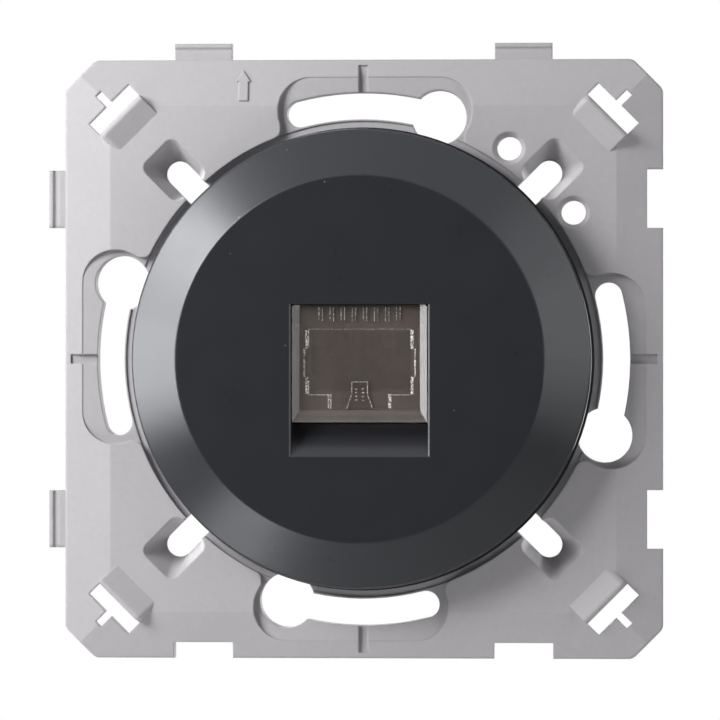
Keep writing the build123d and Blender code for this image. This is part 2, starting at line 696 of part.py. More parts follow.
# Shutter: see-through moulding that hangs on two trunnions
with BuildPart() as shutter:
    shutter_half = WINDOW_WIDTH / 2 - SHUTTER_GAP
    shutter_top = WINDOW_TOP - SHUTTER_TOP_GAP
    with BuildSketch(Plane.YZ) as flap_section:
        rectangle(SHUTTER_Y, SHUTTER_BACK_Y, SHUTTER_BOTTOM, shutter_top)
        top_front = flap_section.vertices().group_by(Axis.Y)[-1].sort_by(Axis.X)[0]
        fillet(top_front, SHUTTER_TOP_ROUND)
    extrude(amount=shutter_half, both=True)
    for side in (-1, 1):
        with BuildSketch(Plane.YZ.offset(side * (shutter_half - SIDE_STRIP))):
            with Locations((PIVOT_Y, PIVOT_Z)):
                Circle(EAR_R)
        extrude(amount=side * SIDE_STRIP)

    # Sunk field with sloping sides
    with BuildSketch(facing_front(SHUTTER_Y)):
        rectangle(-shutter_half, shutter_half, SHUTTER_BOTTOM, FIELD_TOP)
    with BuildSketch(facing_front(SHUTTER_Y + FIELD_DEPTH)):
        rectangle(
            -shutter_half + SIDE_STRIP, shutter_half - SIDE_STRIP,
            SHUTTER_BOTTOM + BOTTOM_STRIP, FIELD_TOP,
        )
    loft(mode=Mode.SUBTRACT)

    # Plug contour sunk into the field
    field_y = SHUTTER_Y + FIELD_DEPTH
    mark_half = PLUG_MARK_WIDTH / 2
    with BuildSketch(facing_front(field_y + PLUG_MARK_DEPTH)):
        rectangle(
            -mark_half + PLUG_MARK_STEP, mark_half - PLUG_MARK_STEP, PLUG_MARK_BOTTOM, PLUG_MARK_TOP
        )
        rectangle(-mark_half, mark_half, PLUG_MARK_STEP_BOTTOM, PLUG_MARK_STEP_TOP)
        rectangle(
            -PLUG_MARK_NECK_WIDTH / 2, PLUG_MARK_NECK_WIDTH / 2, PLUG_MARK_NECK_BOTTOM, PLUG_MARK_BOTTOM
        )
    extrude(amount=PLUG_MARK_DEPTH, taper=-PLUG_MARK_SLOPE, mode=Mode.SUBTRACT)

    # Latch mark: a raised line with two columns of ticks, then a row of ribs above the contour
    with BuildSketch(facing_front(field_y + PLUG_MARK_DEPTH)):
        with BuildLine():
            Polyline(
                (-LATCH_MARK_WIDTH / 2, LATCH_MARK_TOP),
                (LATCH_MARK_WIDTH / 2, LATCH_MARK_TOP),
                (LATCH_MARK_WIDTH / 2, PLUG_MARK_BOTTOM),
                (LATCH_MARK_FOOT / 2, PLUG_MARK_NECK_BOTTOM),
                (-LATCH_MARK_FOOT / 2, PLUG_MARK_NECK_BOTTOM),
                (-LATCH_MARK_WIDTH / 2, PLUG_MARK_BOTTOM),
                close=True,
            )
        make_face()
        offset(amount=-LATCH_MARK_LINE, kind=Kind.INTERSECTION, mode=Mode.SUBTRACT)
        for side in (-1, 1):
            for row in range(TICK_ROWS):
                with Locations((side * TICK_X, TICK_TOP - row * TICK_PITCH)):
                    Rectangle(TICK_WIDTH, TICK_HEIGHT)
    extrude(amount=PLUG_MARK_DEPTH)
    with BuildSketch(facing_front(field_y)):
        with Locations((0, RIB_TOP - RIB_LENGTH / 2)):
            with GridLocations(RIB_PITCH, 0, RIB_COUNT, 1):
                Rectangle(RIB_WIDTH, RIB_LENGTH)
    extrude(amount=RIB_HEIGHT)

    # Trunnions, the stub for the spring and the hole for the spring's tang
    stub_length = WELL_WALL + SHUTTER_GAP + SPRING_POCKET - STUB_END_GAP
    for radius, reach in (
        (TRUNNION_R, SHUTTER_GAP + TRUNNION_SHORT),
        (TRUNNION_R, -TRUNNION_LENGTH),
        (STUB_R, -stub_length),
    ):
        with BuildSketch(Plane.YZ.offset(copysign(shutter_half, reach))):
            with Locations((PIVOT_Y, PIVOT_Z)):
                Circle(radius)
        extrude(amount=reach)
    with BuildSketch(Plane.YZ.offset(-shutter_half - TRUNNION_LENGTH - JOIN)):
        with Locations((PIVOT_Y, PIVOT_Z + SPRING_R)):
            Circle(SPRING_WIRE_R + TANG_HOLE_GAP)
    extrude(amount=TANG_HOLE_DEPTH, mode=Mode.SUBTRACT)
finish(shutter, "shutter")

# Closing spring: touching turns round the stub, a tang into the trunnion and a leg against the pocket
spring_start = boss_start - SPRING_END_GAP
spring_pitch = 2 * SPRING_WIRE_R
spring_end = spring_start - SPRING_TURNS * spring_pitch
with BuildPart() as shutter_spring:
    with BuildSketch(Plane.XY.offset(PIVOT_Z)):
        ridge = []
        for turn in range(SPRING_TURNS):
            turn_x = spring_end + turn * spring_pitch
            ridge.append((turn_x, PIVOT_Y + SPRING_R))
            ridge.append((turn_x + spring_pitch / 2, PIVOT_Y + SPRING_R + SPRING_WIRE_R))
        with BuildLine():
            Polyline(
                *ridge,
                (spring_start, PIVOT_Y + SPRING_R),
                (spring_start, PIVOT_Y + SPRING_R - SPRING_WIRE_R),
                (spring_end, PIVOT_Y + SPRING_R - SPRING_WIRE_R),
                close=True,
            )
        make_face()
    revolve(axis=Axis((0, PIVOT_Y, PIVOT_Z), (1, 0, 0)))
    with BuildSketch(Plane.YZ.offset(spring_start - SPRING_WIRE_R)):
        with Locations((PIVOT_Y, PIVOT_Z + SPRING_R)):
            Circle(SPRING_WIRE_R - 0.01)
    extrude(amount=SPRING_TANG)
    with BuildSketch(Plane.XY.offset(PIVOT_Z)):
        with Locations((spring_end + SPRING_WIRE_R, PIVOT_Y + SPRING_R)):
            Circle(SPRING_WIRE_R - 0.01)
    extrude(amount=-SPRING_POCKET_HALF + 0.01)
finish(shutter_spring, "shutter_spring")

# Hook of the carrier, at one diagonal of the ring
spigot_r = OPENING_R - CARRIER_SPIGOT_GAP
hook_y = HOOK_GAP - REAR_STEP
with BuildPart() as carrier_hook:
    with BuildSketch(Plane.XY.rotated((0, DIAGONAL - HOOK_ARC / 2, 0))):
        with BuildLine():
            Polyline(
                (spigot_r - CARRIER_SPIGOT_WALL, SEAT_Y),
                (spigot_r, SEAT_Y),
                (spigot_r, hook_y),
                (spigot_r + HOOK_REACH, hook_y),
                (spigot_r + HOOK_REACH, hook_y + HOOK_LAND),
                (spigot_r, hook_y + HOOK_LENGTH),
                (spigot_r - CARRIER_SPIGOT_WALL, hook_y + HOOK_LENGTH),
                close=True,
            )
        make_face()
    revolve(axis=Axis.Y, revolution_arc=HOOK_ARC)

# Module carrier: disc with a rim for the cover, hooks for the frame and two arms for the jack
with BuildPart() as module_carrier:
    with BuildSketch(Plane.XY):
        with BuildLine():
            Polyline(
                (0, WEB_FRONT_Y),
                (CARRIER_RIM_R - 1.8, WEB_FRONT_Y),
                (CARRIER_RIM_R - 1.8, COVER_BASE_Y - BEAD_HEIGHT - 0.1 - CARRIER_RIM_T),
                (CARRIER_RIM_R, COVER_BASE_Y - BEAD_HEIGHT - 0.1 - CARRIER_RIM_T),
                (CARRIER_RIM_R, COVER_BASE_Y - BEAD_HEIGHT - 0.1),
                (CARRIER_FLANGE_R, COVER_BASE_Y - BEAD_HEIGHT - 0.1),
                (CARRIER_FLANGE_R, SEAT_Y),
                (spigot_r, SEAT_Y),
                (spigot_r, -SPIGOT_END),
                (spigot_r - CARRIER_SPIGOT_WALL, -SPIGOT_END),
                (spigot_r - CARRIER_SPIGOT_WALL, SEAT_Y),
                (0, SEAT_Y),
                close=True,
            )
        make_face()
    revolve(axis=Axis.Y)
    add(quarters(carrier_hook.part))
    with BuildSketch(facing_front(-SPIGOT_END)):
        Rectangle(2 * (OPENING_R + KEY_DEPTH - KEY_GAP), KEY_WIDTH - 2 * KEY_GAP)
        Circle(spigot_r - CARRIER_SPIGOT_WALL / 2, mode=Mode.SUBTRACT)
    extrude(amount=-SPIGOT_END - SEAT_Y + JOIN)
    with BuildSketch(facing_front(SEAT_Y + PAST)):
        rectangle(
            -NOSE_HALF_WIDTH - NOSE_GAP, NOSE_HALF_WIDTH + NOSE_GAP,
            NOSE_BOTTOM - NOSE_GAP, NOSE_TOP + NOSE_GAP,
        )
    extrude(amount=CARRIER_WEB + 2 * PAST, mode=Mode.SUBTRACT)
    clip_end_y = SEAT_Y + CLIP_REACH
    for root_z, side in ((JACK_TOP + CLIP_GAP, 1), (JACK_BOTTOM - CLIP_GAP, -1)):
        with BuildSketch(Plane.YZ) as arm_section:
            with BuildLine():
                Polyline(
                    (SEAT_Y - 0.2, root_z),
                    (clip_end_y - CLIP_HOOK_LENGTH, root_z),
                    (clip_end_y - CLIP_HOOK_LENGTH, root_z - side * (CLIP_HOOK + CLIP_GAP)),
                    (clip_end_y - CLIP_HOOK_LENGTH / 2, root_z - side * (CLIP_HOOK + CLIP_GAP)),
                    (clip_end_y, root_z),
                    (clip_end_y, root_z + side * CLIP_T),
                    (SEAT_Y - 0.2, root_z + side * CLIP_T),
                    close=True,
                )
            make_face()
        extrude(amount=CLIP_WIDTH / 2, both=True)
finish(module_carrier, "module_carrier")


def lug_outline(side):
    """Hinge lug of a rear door in the open sketch: a round end that runs back into the jack's side."""
    with Locations((side * DOOR_PIN_X, DOOR_PIN_Y)):
        Circle(KNUCKLE_R + 0.1)
    rectangle(
        min(side * DOOR_PIN_X, side * (JACK_HALF_WIDTH - 0.3)),
        max(side * DOOR_PIN_X, side * (JACK_HALF_WIDTH - 0.3)),
        DOOR_PIN_Y - KNUCKLE_R - 0.1,
        DOOR_PIN_Y + KNUCKLE_R * 0.6,
    )


# Jack body: die casting with the plug opening in its nose
with BuildPart() as jack_body:
    with BuildSketch(facing_front(JACK_REAR_Y)):
        rectangle(-JACK_HALF_WIDTH, JACK_HALF_WIDTH, JACK_BOTTOM, JACK_TOP)
    extrude(amount=JACK_LENGTH)
    fillet(jack_body.edges().filter_by(Axis.Y), JACK_ROUND)
    with BuildSketch(facing_front(SHOULDER_Y)):
        rectangle(-NOSE_HALF_WIDTH, NOSE_HALF_WIDTH, NOSE_BOTTOM, NOSE_TOP)
    extrude(amount=NOSE_LENGTH)
    for low_z in (JACK_BOTTOM + 0.2, JACK_TOP - 0.2 - LUG_HEIGHT):
        with BuildSketch(Plane.XY.offset(low_z)):
            lug_outline(-1)
            lug_outline(1)
        extrude(amount=LUG_HEIGHT)

    # Plug opening with the latch channel below it
    with BuildSketch(facing_front(NOSE_Y + LATCH_LENGTH)):
        rectangle(-PLUG_WIDTH / 2, PLUG_WIDTH / 2, PLUG_BOTTOM, PLUG_TOP)
        rectangle(-LATCH_WIDTH / 2, LATCH_WIDTH / 2, LATCH_BOTTOM, PLUG_BOTTOM)
        rectangle(-LATCH_SLOT_WIDTH / 2, LATCH_SLOT_WIDTH / 2, LATCH_SLOT_BOTTOM, LATCH_BOTTOM)
    extrude(amount=LATCH_LENGTH + PAST, mode=Mode.SUBTRACT)

    # Hollow for the contact block, and the wider one behind it for the board and the terminals
    insert_half = PLUG_WIDTH / 2 + INSERT_WALL
    with BuildSketch(facing_front(INSERT_END_Y + BOARD_GAP)):
        rectangle(
            -insert_half - INSERT_GAP, insert_half + INSERT_GAP,
            PLUG_BOTTOM - INSERT_GAP, INSERT_TOP + INSERT_GAP,
        )
    extrude(amount=INSERT_END_Y + BOARD_GAP - INSERT_Y + INSERT_GAP, mode=Mode.SUBTRACT)
    with BuildSketch(facing_front(JACK_REAR_Y + PAST)):
        rectangle(
            -JACK_HALF_WIDTH + CAVITY_WALL, JACK_HALF_WIDTH - CAVITY_WALL,
            JACK_BOTTOM + CAVITY_WALL, JACK_TOP - CAVITY_WALL,
        )
    extrude(amount=JACK_REAR_Y + PAST - INSERT_END_Y - BOARD_GAP, mode=Mode.SUBTRACT)

    # Catches for the carrier's arms
    for edge_z in (JACK_TOP, JACK_BOTTOM):
        with BuildSketch(facing_front(clip_end_y + 0.3)):
            with Locations((0, edge_z)):
                Rectangle(CLIP_WIDTH + 0.6, 2 * CLIP_HOOK + 0.3)
        extrude(amount=CLIP_HOOK_LENGTH + 0.45, mode=Mode.SUBTRACT)

    # Bores of the door pins
    for side in (-1, 1):
        with BuildSketch(Plane.XY.offset(JACK_BOTTOM - PAST)):
            with Locations((side * DOOR_PIN_X, DOOR_PIN_Y)):
                Circle(DOOR_PIN_R + PIN_SEAT)
        extrude(amount=JACK_TOP - JACK_BOTTOM + 2 * PAST, mode=Mode.SUBTRACT)
finish(jack_body, "jack_body")

# Contact block: insert that guides the plug and keeps the contacts apart
contact_xs = [(number - (CONTACT_COUNT - 1) / 2) * CONTACT_PITCH for number in range(CONTACT_COUNT)]
contact_slot_top = CONTACT_Z + CONTACT_T / 2 + 0.1
with BuildPart() as contact_block:
    with BuildSketch(facing_front(INSERT_END_Y)):
        rectangle(-insert_half, insert_half, PLUG_BOTTOM, INSERT_TOP)
    extrude(amount=INSERT_END_Y - INSERT_Y)
    with BuildSketch(facing_front(PLUG_END_Y)):
        rectangle(-PLUG_WIDTH / 2, PLUG_WIDTH / 2, PLUG_BOTTOM - PAST, PLUG_TOP)
    extrude(amount=PLUG_END_Y - INSERT_Y + PAST, mode=Mode.SUBTRACT)
    with BuildSketch(facing_front(INSERT_END_Y + PAST)):
        for x in contact_xs:
            rectangle(x - CONTACT_SLOT / 2, x + CONTACT_SLOT / 2, PLUG_TOP - PAST, contact_slot_top)
    extrude(
        amount=INSERT_END_Y + PAST - CONTACT_BEND_Y + CONTACT_BEND_R + CONTACT_T, mode=Mode.SUBTRACT
    )
    leaf_low_z = (PLUG_TOP + PLUG_BOTTOM) / 2 - SPRING_LEAF_HEIGHT / 2
    with BuildSketch(Plane.XY.offset(leaf_low_z - 0.1)):
        with Locations((0, (SPRING_LEAF_START + SPRING_LEAF_END) / 2)):
            Rectangle(2 * insert_half + PAST, SPRING_LEAF_END - SPRING_LEAF_START + 0.3)
    extrude(amount=SPRING_LEAF_HEIGHT + 0.2, mode=Mode.SUBTRACT)
finish(contact_block, "contact_block")

# Contacts: flat wires that come forward from the board, turn over and lie back into the plug's path
for number, x in enumerate(contact_xs, start=1):
    with BuildPart() as contact:
        with BuildSketch(Plane.YZ.offset(x)):
            with BuildLine():
                CenterArc(
                    (CONTACT_BEND_Y, CONTACT_Z - CONTACT_BEND_R), CONTACT_BEND_R, 90, CONTACT_TURN
                )
                run = Line((BOARD_END_Y - 0.1, CONTACT_Z), (CONTACT_BEND_Y, CONTACT_Z))
                bend_end = (
                    CONTACT_BEND_Y + CONTACT_BEND_R * cos(radians(90 + CONTACT_TURN)),
                    CONTACT_Z - CONTACT_BEND_R + CONTACT_BEND_R * sin(radians(90 + CONTACT_TURN)),
                )
                leg = PolarLine(bend_end, CONTACT_LEG, CONTACT_TURN - 180)
                lift = JernArc(leg @ 1, leg % 1, 1.2, CONTACT_TAIL_TURN)
                Line(lift @ 1, lift @ 1 + CONTACT_TAIL * (lift % 1))
            trace(line_width=CONTACT_T)
        extrude(amount=CONTACT_WIDTH / 2, both=True)
    finish(contact, f"contact_{number}")

# Shield springs: bowed leaves in the sides of the contact block
for side, name in ((-1, "shield_spring_left"), (1, "shield_spring_right")):
    with BuildPart() as leaf:
        leaf_x = PLUG_WIDTH / 2 + INSERT_WALL - SPRING_LEAF_T / 2 - 0.1
        with BuildSketch(Plane.XY.offset(leaf_low_z)):
            with BuildLine():
                ThreePointArc(
                    (side * leaf_x, SPRING_LEAF_START),
                    (side * (leaf_x - SPRING_LEAF_BOW), (SPRING_LEAF_START + SPRING_LEAF_END) / 2),
                    (side * leaf_x, SPRING_LEAF_END),
                )
            trace(line_width=SPRING_LEAF_T)
        extrude(amount=SPRING_LEAF_HEIGHT)
    finish(leaf, name)

# Circuit board between the contacts and the terminals
board_half = JACK_HALF_WIDTH - CAVITY_WALL - BOARD_GAP
board_low = JACK_BOTTOM + CAVITY_WALL + BOARD_GAP
board_high = JACK_TOP - CAVITY_WALL - BOARD_GAP
with BuildPart() as circuit_board:
    with BuildSketch(facing_front(BOARD_END_Y)):
        rectangle(-board_half, board_half, board_low, board_high)
        for x in contact_xs:
            with Locations((x, CONTACT_Z)):
                Rectangle(
                    CONTACT_WIDTH + 2 * BOARD_HOLE_GAP, CONTACT_T + 2 * BOARD_HOLE_GAP, mode=Mode.SUBTRACT
                )
        for x in BLADE_COLUMNS:
            for z in BLADE_ROWS:
                with Locations((x, z)):
                    Rectangle(
                        BLADE_TAIL_WIDTH + 2 * BOARD_HOLE_GAP, BLADE_T + 2 * BOARD_HOLE_GAP,
                        mode=Mode.SUBTRACT,
                    )
    extrude(amount=BOARD_T)
finish(circuit_board, "circuit_board")

# Terminal block: a base with two rows of slotted towers
blade_start_y = TERMINAL_Y + 0.3
blade_end_y = blade_start_y + BLADE_LENGTH
with BuildPart() as terminal_block:
    with BuildSketch(facing_front(TERMINAL_Y + TERMINAL_BASE_T)):
        rectangle(-board_half, board_half, board_low, board_high)
    extrude(amount=TERMINAL_BASE_T)
    with BuildSketch(facing_front(TERMINAL_END_Y)):
        for z in BLADE_ROWS:
            rectangle(
                -board_half + 0.2, board_half - 0.2, z - TERMINAL_ROW_HEIGHT / 2, z + TERMINAL_ROW_HEIGHT / 2
            )
    extrude(amount=TERMINAL_LENGTH - TERMINAL_BASE_T)
    with BuildSketch(facing_front(TERMINAL_END_Y + PAST)):
        for x in BLADE_COLUMNS:
            for z in BLADE_ROWS:
                with Locations((x, z)):
                    Rectangle(WIRE_GROOVE, TERMINAL_ROW_HEIGHT + PAST)
    extrude(amount=WIRE_GROOVE_DEPTH + PAST, mode=Mode.SUBTRACT)
    with BuildSketch(facing_front(TERMINAL_END_Y + PAST)):
        for x in BLADE_COLUMNS:
            for z in BLADE_ROWS:
                with Locations((x, z)):
                    Rectangle(BLADE_WIDTH + 2 * BLADE_GAP, BLADE_T + 2 * BLADE_GAP)
    extrude(amount=TERMINAL_END_Y + PAST - blade_start_y + BLADE_GAP, mode=Mode.SUBTRACT)
    with BuildSketch(facing_front(TERMINAL_END_Y)):
        for x in BLADE_COLUMNS:
            for z in BLADE_ROWS:
                with Locations((x, z)):
                    Rectangle(BLADE_TAIL_WIDTH + 2 * BLADE_GAP, BLADE_T + 2 * BLADE_GAP)
    extrude(amount=TERMINAL_LENGTH + PAST, mode=Mode.SUBTRACT)
finish(terminal_block, "terminal_block")

# Terminal blades: forks with a slit for the conductor and a tail through the board
blade_places = [(x, z) for z in reversed(BLADE_ROWS) for x in BLADE_COLUMNS]
for number, (x, z) in enumerate(blade_places, start=1):
    with BuildPart() as blade:
        with BuildSketch(Plane.XY.offset(z)):
            rectangle(x - BLADE_WIDTH / 2, x + BLADE_WIDTH / 2, blade_start_y, blade_end_y)
            rectangle(x - BLADE_TAIL_WIDTH / 2, x + BLADE_TAIL_WIDTH / 2, BOARD_Y + 0.1, blade_start_y)
            rectangle(
                x - BLADE_SLIT / 2, x + BLADE_SLIT / 2, blade_end_y - BLADE_SLIT_DEPTH, blade_end_y,
                mode=Mode.SUBTRACT,
            )
            with BuildLine():
                Polyline(
                    (x - BLADE_WIDTH / 4, blade_end_y),
                    (x, blade_end_y - BLADE_WIDTH / 3),
                    (x + BLADE_WIDTH / 4, blade_end_y),
                    close=True,
                )
            make_face(mode=Mode.SUBTRACT)
        extrude(amount=BLADE_T / 2, both=True)
    finish(blade, f"terminal_blade_{number}")

# Wire manager: cap that carries the cable and lays the conductors over the blades
with BuildPart() as wire_manager:
    manager_half = JACK_HALF_WIDTH - 0.1
    manager_low = JACK_BOTTOM + 0.5
    manager_high = JACK_TOP - 0.5
    manager_mid = (manager_low + manager_high) / 2
    with BuildSketch(facing_front(MANAGER_END_Y)):
        rectangle(-manager_half, manager_half, manager_low, manager_high)
    extrude(amount=MANAGER_LENGTH)
    fillet(wire_manager.edges().filter_by(Axis.Y), MANAGER_ROUND)
    with BuildSketch(facing_front(MANAGER_END_Y + PAST)):
        with Locations((0, manager_mid)):
            Circle(CABLE_R)
    extrude(amount=MANAGER_LENGTH - 2.0 + PAST, mode=Mode.SUBTRACT)

    # Grooves that lead each conductor over its blade, open at the front and on the outside
    for x in BLADE_COLUMNS:
        for z, edge in ((BLADE_ROWS[0], manager_low), (BLADE_ROWS[1], manager_high)):
            with BuildSketch(facing_front(MANAGER_Y + 2.4)):
                rectangle(x - WIRE_GROOVE / 2, x + WIRE_GROOVE / 2, min(z, edge) - PAST, max(z, edge) + PAST)
            extrude(amount=2.4 + PAST, mode=Mode.SUBTRACT)
finish(wire_manager, "wire_manager")

# Rear doors: two halves of a shell that close over the wire manager and push it home
knuckle_low = JACK_BOTTOM + 0.2 + LUG_HEIGHT + KNUCKLE_GAP
knuckle_high = JACK_TOP - 0.2 - LUG_HEIGHT - KNUCKLE_GAP
door_outside = DOOR_PIN_X
door_inside = door_outside - DOOR_WALL
door_back_y = MANAGER_END_Y + DOOR_GAP + DOOR_WALL
for side, name in ((-1, "rear_door_left"), (1, "rear_door_right")):
    with BuildPart() as door:
        with BuildSketch(Plane.XY.offset(JACK_BOTTOM + 0.2)) as door_section:
            with BuildLine():
                Polyline(
                    (side * door_outside, DOOR_PIN_Y + KNUCKLE_R + 0.5),
                    (side * door_outside, door_back_y),
                    (side * DOOR_MEETING_GAP / 2, door_back_y),
                    (side * DOOR_MEETING_GAP / 2, door_back_y - DOOR_WALL),
                    (side * door_inside, door_back_y - DOOR_WALL),
                    (side * door_inside, DOOR_PIN_Y + KNUCKLE_R + 0.5),
                    close=True,
                )
            make_face()
            back_corner = door_section.vertices().sort_by(
                lambda v: (v.X - side * door_outside) ** 2 + (v.Y - door_back_y) ** 2
            )[0]
            fillet(back_corner, DOOR_ROUND)
        extrude(amount=JACK_TOP - JACK_BOTTOM - 0.4)
        with BuildSketch(Plane.XY.offset(knuckle_low)):
            with Locations((side * DOOR_PIN_X, DOOR_PIN_Y)):
                Circle(KNUCKLE_R)
            rectangle(
                min(side * door_inside, side * door_outside), max(side * door_inside, side * door_outside),
                DOOR_PIN_Y, DOOR_PIN_Y + KNUCKLE_R + 1.0,
            )
        extrude(amount=knuckle_high - knuckle_low)
        with BuildSketch(Plane.XY.offset(knuckle_low - PAST)):
            with Locations((side * DOOR_PIN_X, DOOR_PIN_Y)):
                Circle(DOOR_PIN_R + PIN_RUNNING)
        extrude(amount=knuckle_high - knuckle_low + 2 * PAST, mode=Mode.SUBTRACT)
        with BuildSketch(facing_front(door_back_y + PAST)):
            with Locations((0, manager_mid)):
                Circle(CABLE_OUTLET_R)
        extrude(amount=DOOR_WALL + 2 * PAST, mode=Mode.SUBTRACT)
    finish(door, name)

# Hinge pins of the rear doors
for side, name in ((-1, "door_pin_left"), (1, "door_pin_right")):
    with BuildPart() as door_pin:
        with BuildSketch(Plane.XY.offset(JACK_BOTTOM + 0.3)):
            with Locations((side * DOOR_PIN_X, DOOR_PIN_Y)):
                Circle(DOOR_PIN_R)
        extrude(amount=JACK_TOP - JACK_BOTTOM - 0.6)
    finish(door_pin, name)
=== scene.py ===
import json
import math

import bpy
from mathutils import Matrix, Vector


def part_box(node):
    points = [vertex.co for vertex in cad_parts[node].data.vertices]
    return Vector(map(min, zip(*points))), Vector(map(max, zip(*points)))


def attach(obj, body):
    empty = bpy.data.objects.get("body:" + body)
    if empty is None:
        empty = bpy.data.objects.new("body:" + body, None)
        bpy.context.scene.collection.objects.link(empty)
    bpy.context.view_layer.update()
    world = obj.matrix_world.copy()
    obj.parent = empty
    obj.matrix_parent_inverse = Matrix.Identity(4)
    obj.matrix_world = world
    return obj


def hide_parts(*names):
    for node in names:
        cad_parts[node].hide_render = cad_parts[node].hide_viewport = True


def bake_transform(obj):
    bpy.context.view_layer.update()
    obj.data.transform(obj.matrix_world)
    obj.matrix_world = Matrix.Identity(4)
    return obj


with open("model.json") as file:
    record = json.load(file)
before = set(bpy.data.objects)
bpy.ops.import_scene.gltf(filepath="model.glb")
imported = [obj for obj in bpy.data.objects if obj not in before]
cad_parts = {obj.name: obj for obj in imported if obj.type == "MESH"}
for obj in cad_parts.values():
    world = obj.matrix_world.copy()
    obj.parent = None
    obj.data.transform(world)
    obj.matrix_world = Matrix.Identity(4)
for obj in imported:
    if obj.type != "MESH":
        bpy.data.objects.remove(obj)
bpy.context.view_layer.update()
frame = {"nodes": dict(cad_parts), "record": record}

MM = 0.001
scene = bpy.context.scene


class Shader:
    """A node material whose texture coordinates are the object's own, in metres."""

    def __init__(self, name):
        self.material = bpy.data.materials.new(name)
        self.material.use_nodes = True
        self.tree = self.material.node_tree
        self.bsdf = self.tree.nodes["Principled BSDF"]
        self.coordinates = self.tree.nodes.new("ShaderNodeTexCoord").outputs["Object"]
        self.worn = None

    def link(self, source, target):
        self.tree.links.new(source, target)

    def node(self, kind, **settings):
        made = self.tree.nodes.new(kind)
        for key, value in settings.items():
            setattr(made, key, value)
        return made

    def placed(self, stretch=(1.0, 1.0, 1.0), shift=(0.0, 0.0, 0.0)):
        """Object coordinates stretched and shifted."""
        mapping = self.node("ShaderNodeMapping")
        mapping.inputs["Scale"].default_value = stretch
        mapping.inputs["Location"].default_value = shift
        self.link(self.coordinates, mapping.inputs["Vector"])
        return mapping.outputs["Vector"]

    def noise(self, scale, detail=3.0, stretch=(1.0, 1.0, 1.0)):
        """Noise with about scale spots a metre."""
        texture = self.node("ShaderNodeTexNoise")
        texture.inputs["Scale"].default_value = scale
        texture.inputs["Detail"].default_value = detail
        self.link(self.placed(stretch), texture.inputs["Vector"])
        return texture.outputs["Fac"]

    def spots(self, scale, size, soft, seed=0.0):
        """1 in small round spots scattered at random, 0 between them."""
        cells = self.node("ShaderNodeTexVoronoi")
        cells.inputs["Scale"].default_value = scale
        self.link(self.placed(shift=(seed, seed, seed)), cells.inputs["Vector"])
        return self.ramp(cells.outputs["Distance"], size + soft, size, 0.0, 1.0)

    def ramp(self, value, low, high, to_low, to_high):
        """Straight map of a value from low..high to to_low..to_high, held at both ends."""
        mapped = self.node("ShaderNodeMapRange")
        mapped.inputs["From Min"].default_value = low
        mapped.inputs["From Max"].default_value = high
        mapped.inputs["To Min"].default_value = to_low
        mapped.inputs["To Max"].default_value = to_high
        self.link(value, mapped.inputs["Value"])
        return mapped.outputs["Result"]

    def mix(self, factor, first, second):
        """Colour between first and second."""
        mixed = self.node("ShaderNodeMix", data_type="RGBA")
        self.link(factor, mixed.inputs["Factor"])
        targets = [socket for socket in mixed.inputs if socket.type == "RGBA"]
        for target, value in zip(targets, (first, second)):
            if isinstance(value, tuple):
                target.default_value = (*value, 1.0)
            else:
                self.link(value, target)
        return next(socket for socket in mixed.outputs if socket.type == "RGBA")

    def bump(self, height, distance, edge=0.0):
        """Normal from a height, on edges worn round by a radius; both lengths are in metres.

        The node that rounds the edges is kept as worn, so that its radius can be linked.
        """
        bump = self.node("ShaderNodeBump")
        bump.inputs["Distance"].default_value = distance
        self.link(height, bump.inputs["Height"])
        if edge:
            self.worn = self.node("ShaderNodeBevel", samples=4)
            self.worn.inputs["Radius"].default_value = edge
            self.link(self.worn.outputs["Normal"], bump.inputs["Normal"])
        return bump.outputs["Normal"]


def shaded(colour, factor):
    """A colour made darker or lighter by a factor."""
    return tuple(channel * factor for channel in colour)


def moulded(name, colour, roughness, variation=0.05, grain=0.01, edge=0.1, dust=0.0, specular=0.5):
    """Moulded plastic: slow tone changes, fine mottling, spark-eroded grain and uneven gloss.

    The grain's depth and the radius of the edges are in millimetres. Dust is the tone of scattered specks.
    """
    s = Shader(name)
    slow = s.mix(s.ramp(s.noise(70, 4), 0.3, 0.7, 0.0, 1.0), shaded(colour, 1 - variation), colour)
    mottled = s.mix(s.ramp(s.noise(1500, 4), 0.35, 0.65, 0.0, 1.0), shaded(colour, 1 - variation), colour)
    tone = s.mix(s.ramp(s.noise(300, 2), 0.4, 0.6, 0.3, 0.7), slow, mottled)
    if dust:
        for scale, size, seed in ((190, 0.014, 0.0), (270, 0.012, 0.31)):
            tone = s.mix(s.spots(scale, size, 0.01, seed), tone, (dust, dust, dust))
    s.link(tone, s.bsdf.inputs["Base Color"])
    gloss = s.ramp(s.noise(240, 4), 0.2, 0.8, roughness * 0.92, roughness * 1.08)
    s.link(gloss, s.bsdf.inputs["Roughness"])
    s.link(s.bump(s.noise(7000, 2), grain * MM, edge * MM), s.bsdf.inputs["Normal"])
    s.bsdf.inputs["Specular IOR Level"].default_value = specular
    return s


def metal(name, colour, roughness, grain=0.008, edge=0.04, stretch=(1.0, 1.0, 1.0)):
    """Metal with uneven polish and a fine grain; grain depth and edge radius are in millimetres."""
    s = Shader(name)
    tone = s.mix(s.ramp(s.noise(900, 5), 0.3, 0.7, 0.0, 1.0), shaded(colour, 0.94), colour)
    s.link(tone, s.bsdf.inputs["Base Color"])
    s.bsdf.inputs["Metallic"].default_value = 1.0
    gloss = s.ramp(s.noise(1500, 4, stretch), 0.2, 0.8, roughness * 0.85, roughness * 1.2)
    s.link(gloss, s.bsdf.inputs["Roughness"])
    s.link(s.bump(s.noise(6000, 2, stretch), grain * MM, edge * MM), s.bsdf.inputs["Normal"])
    return s


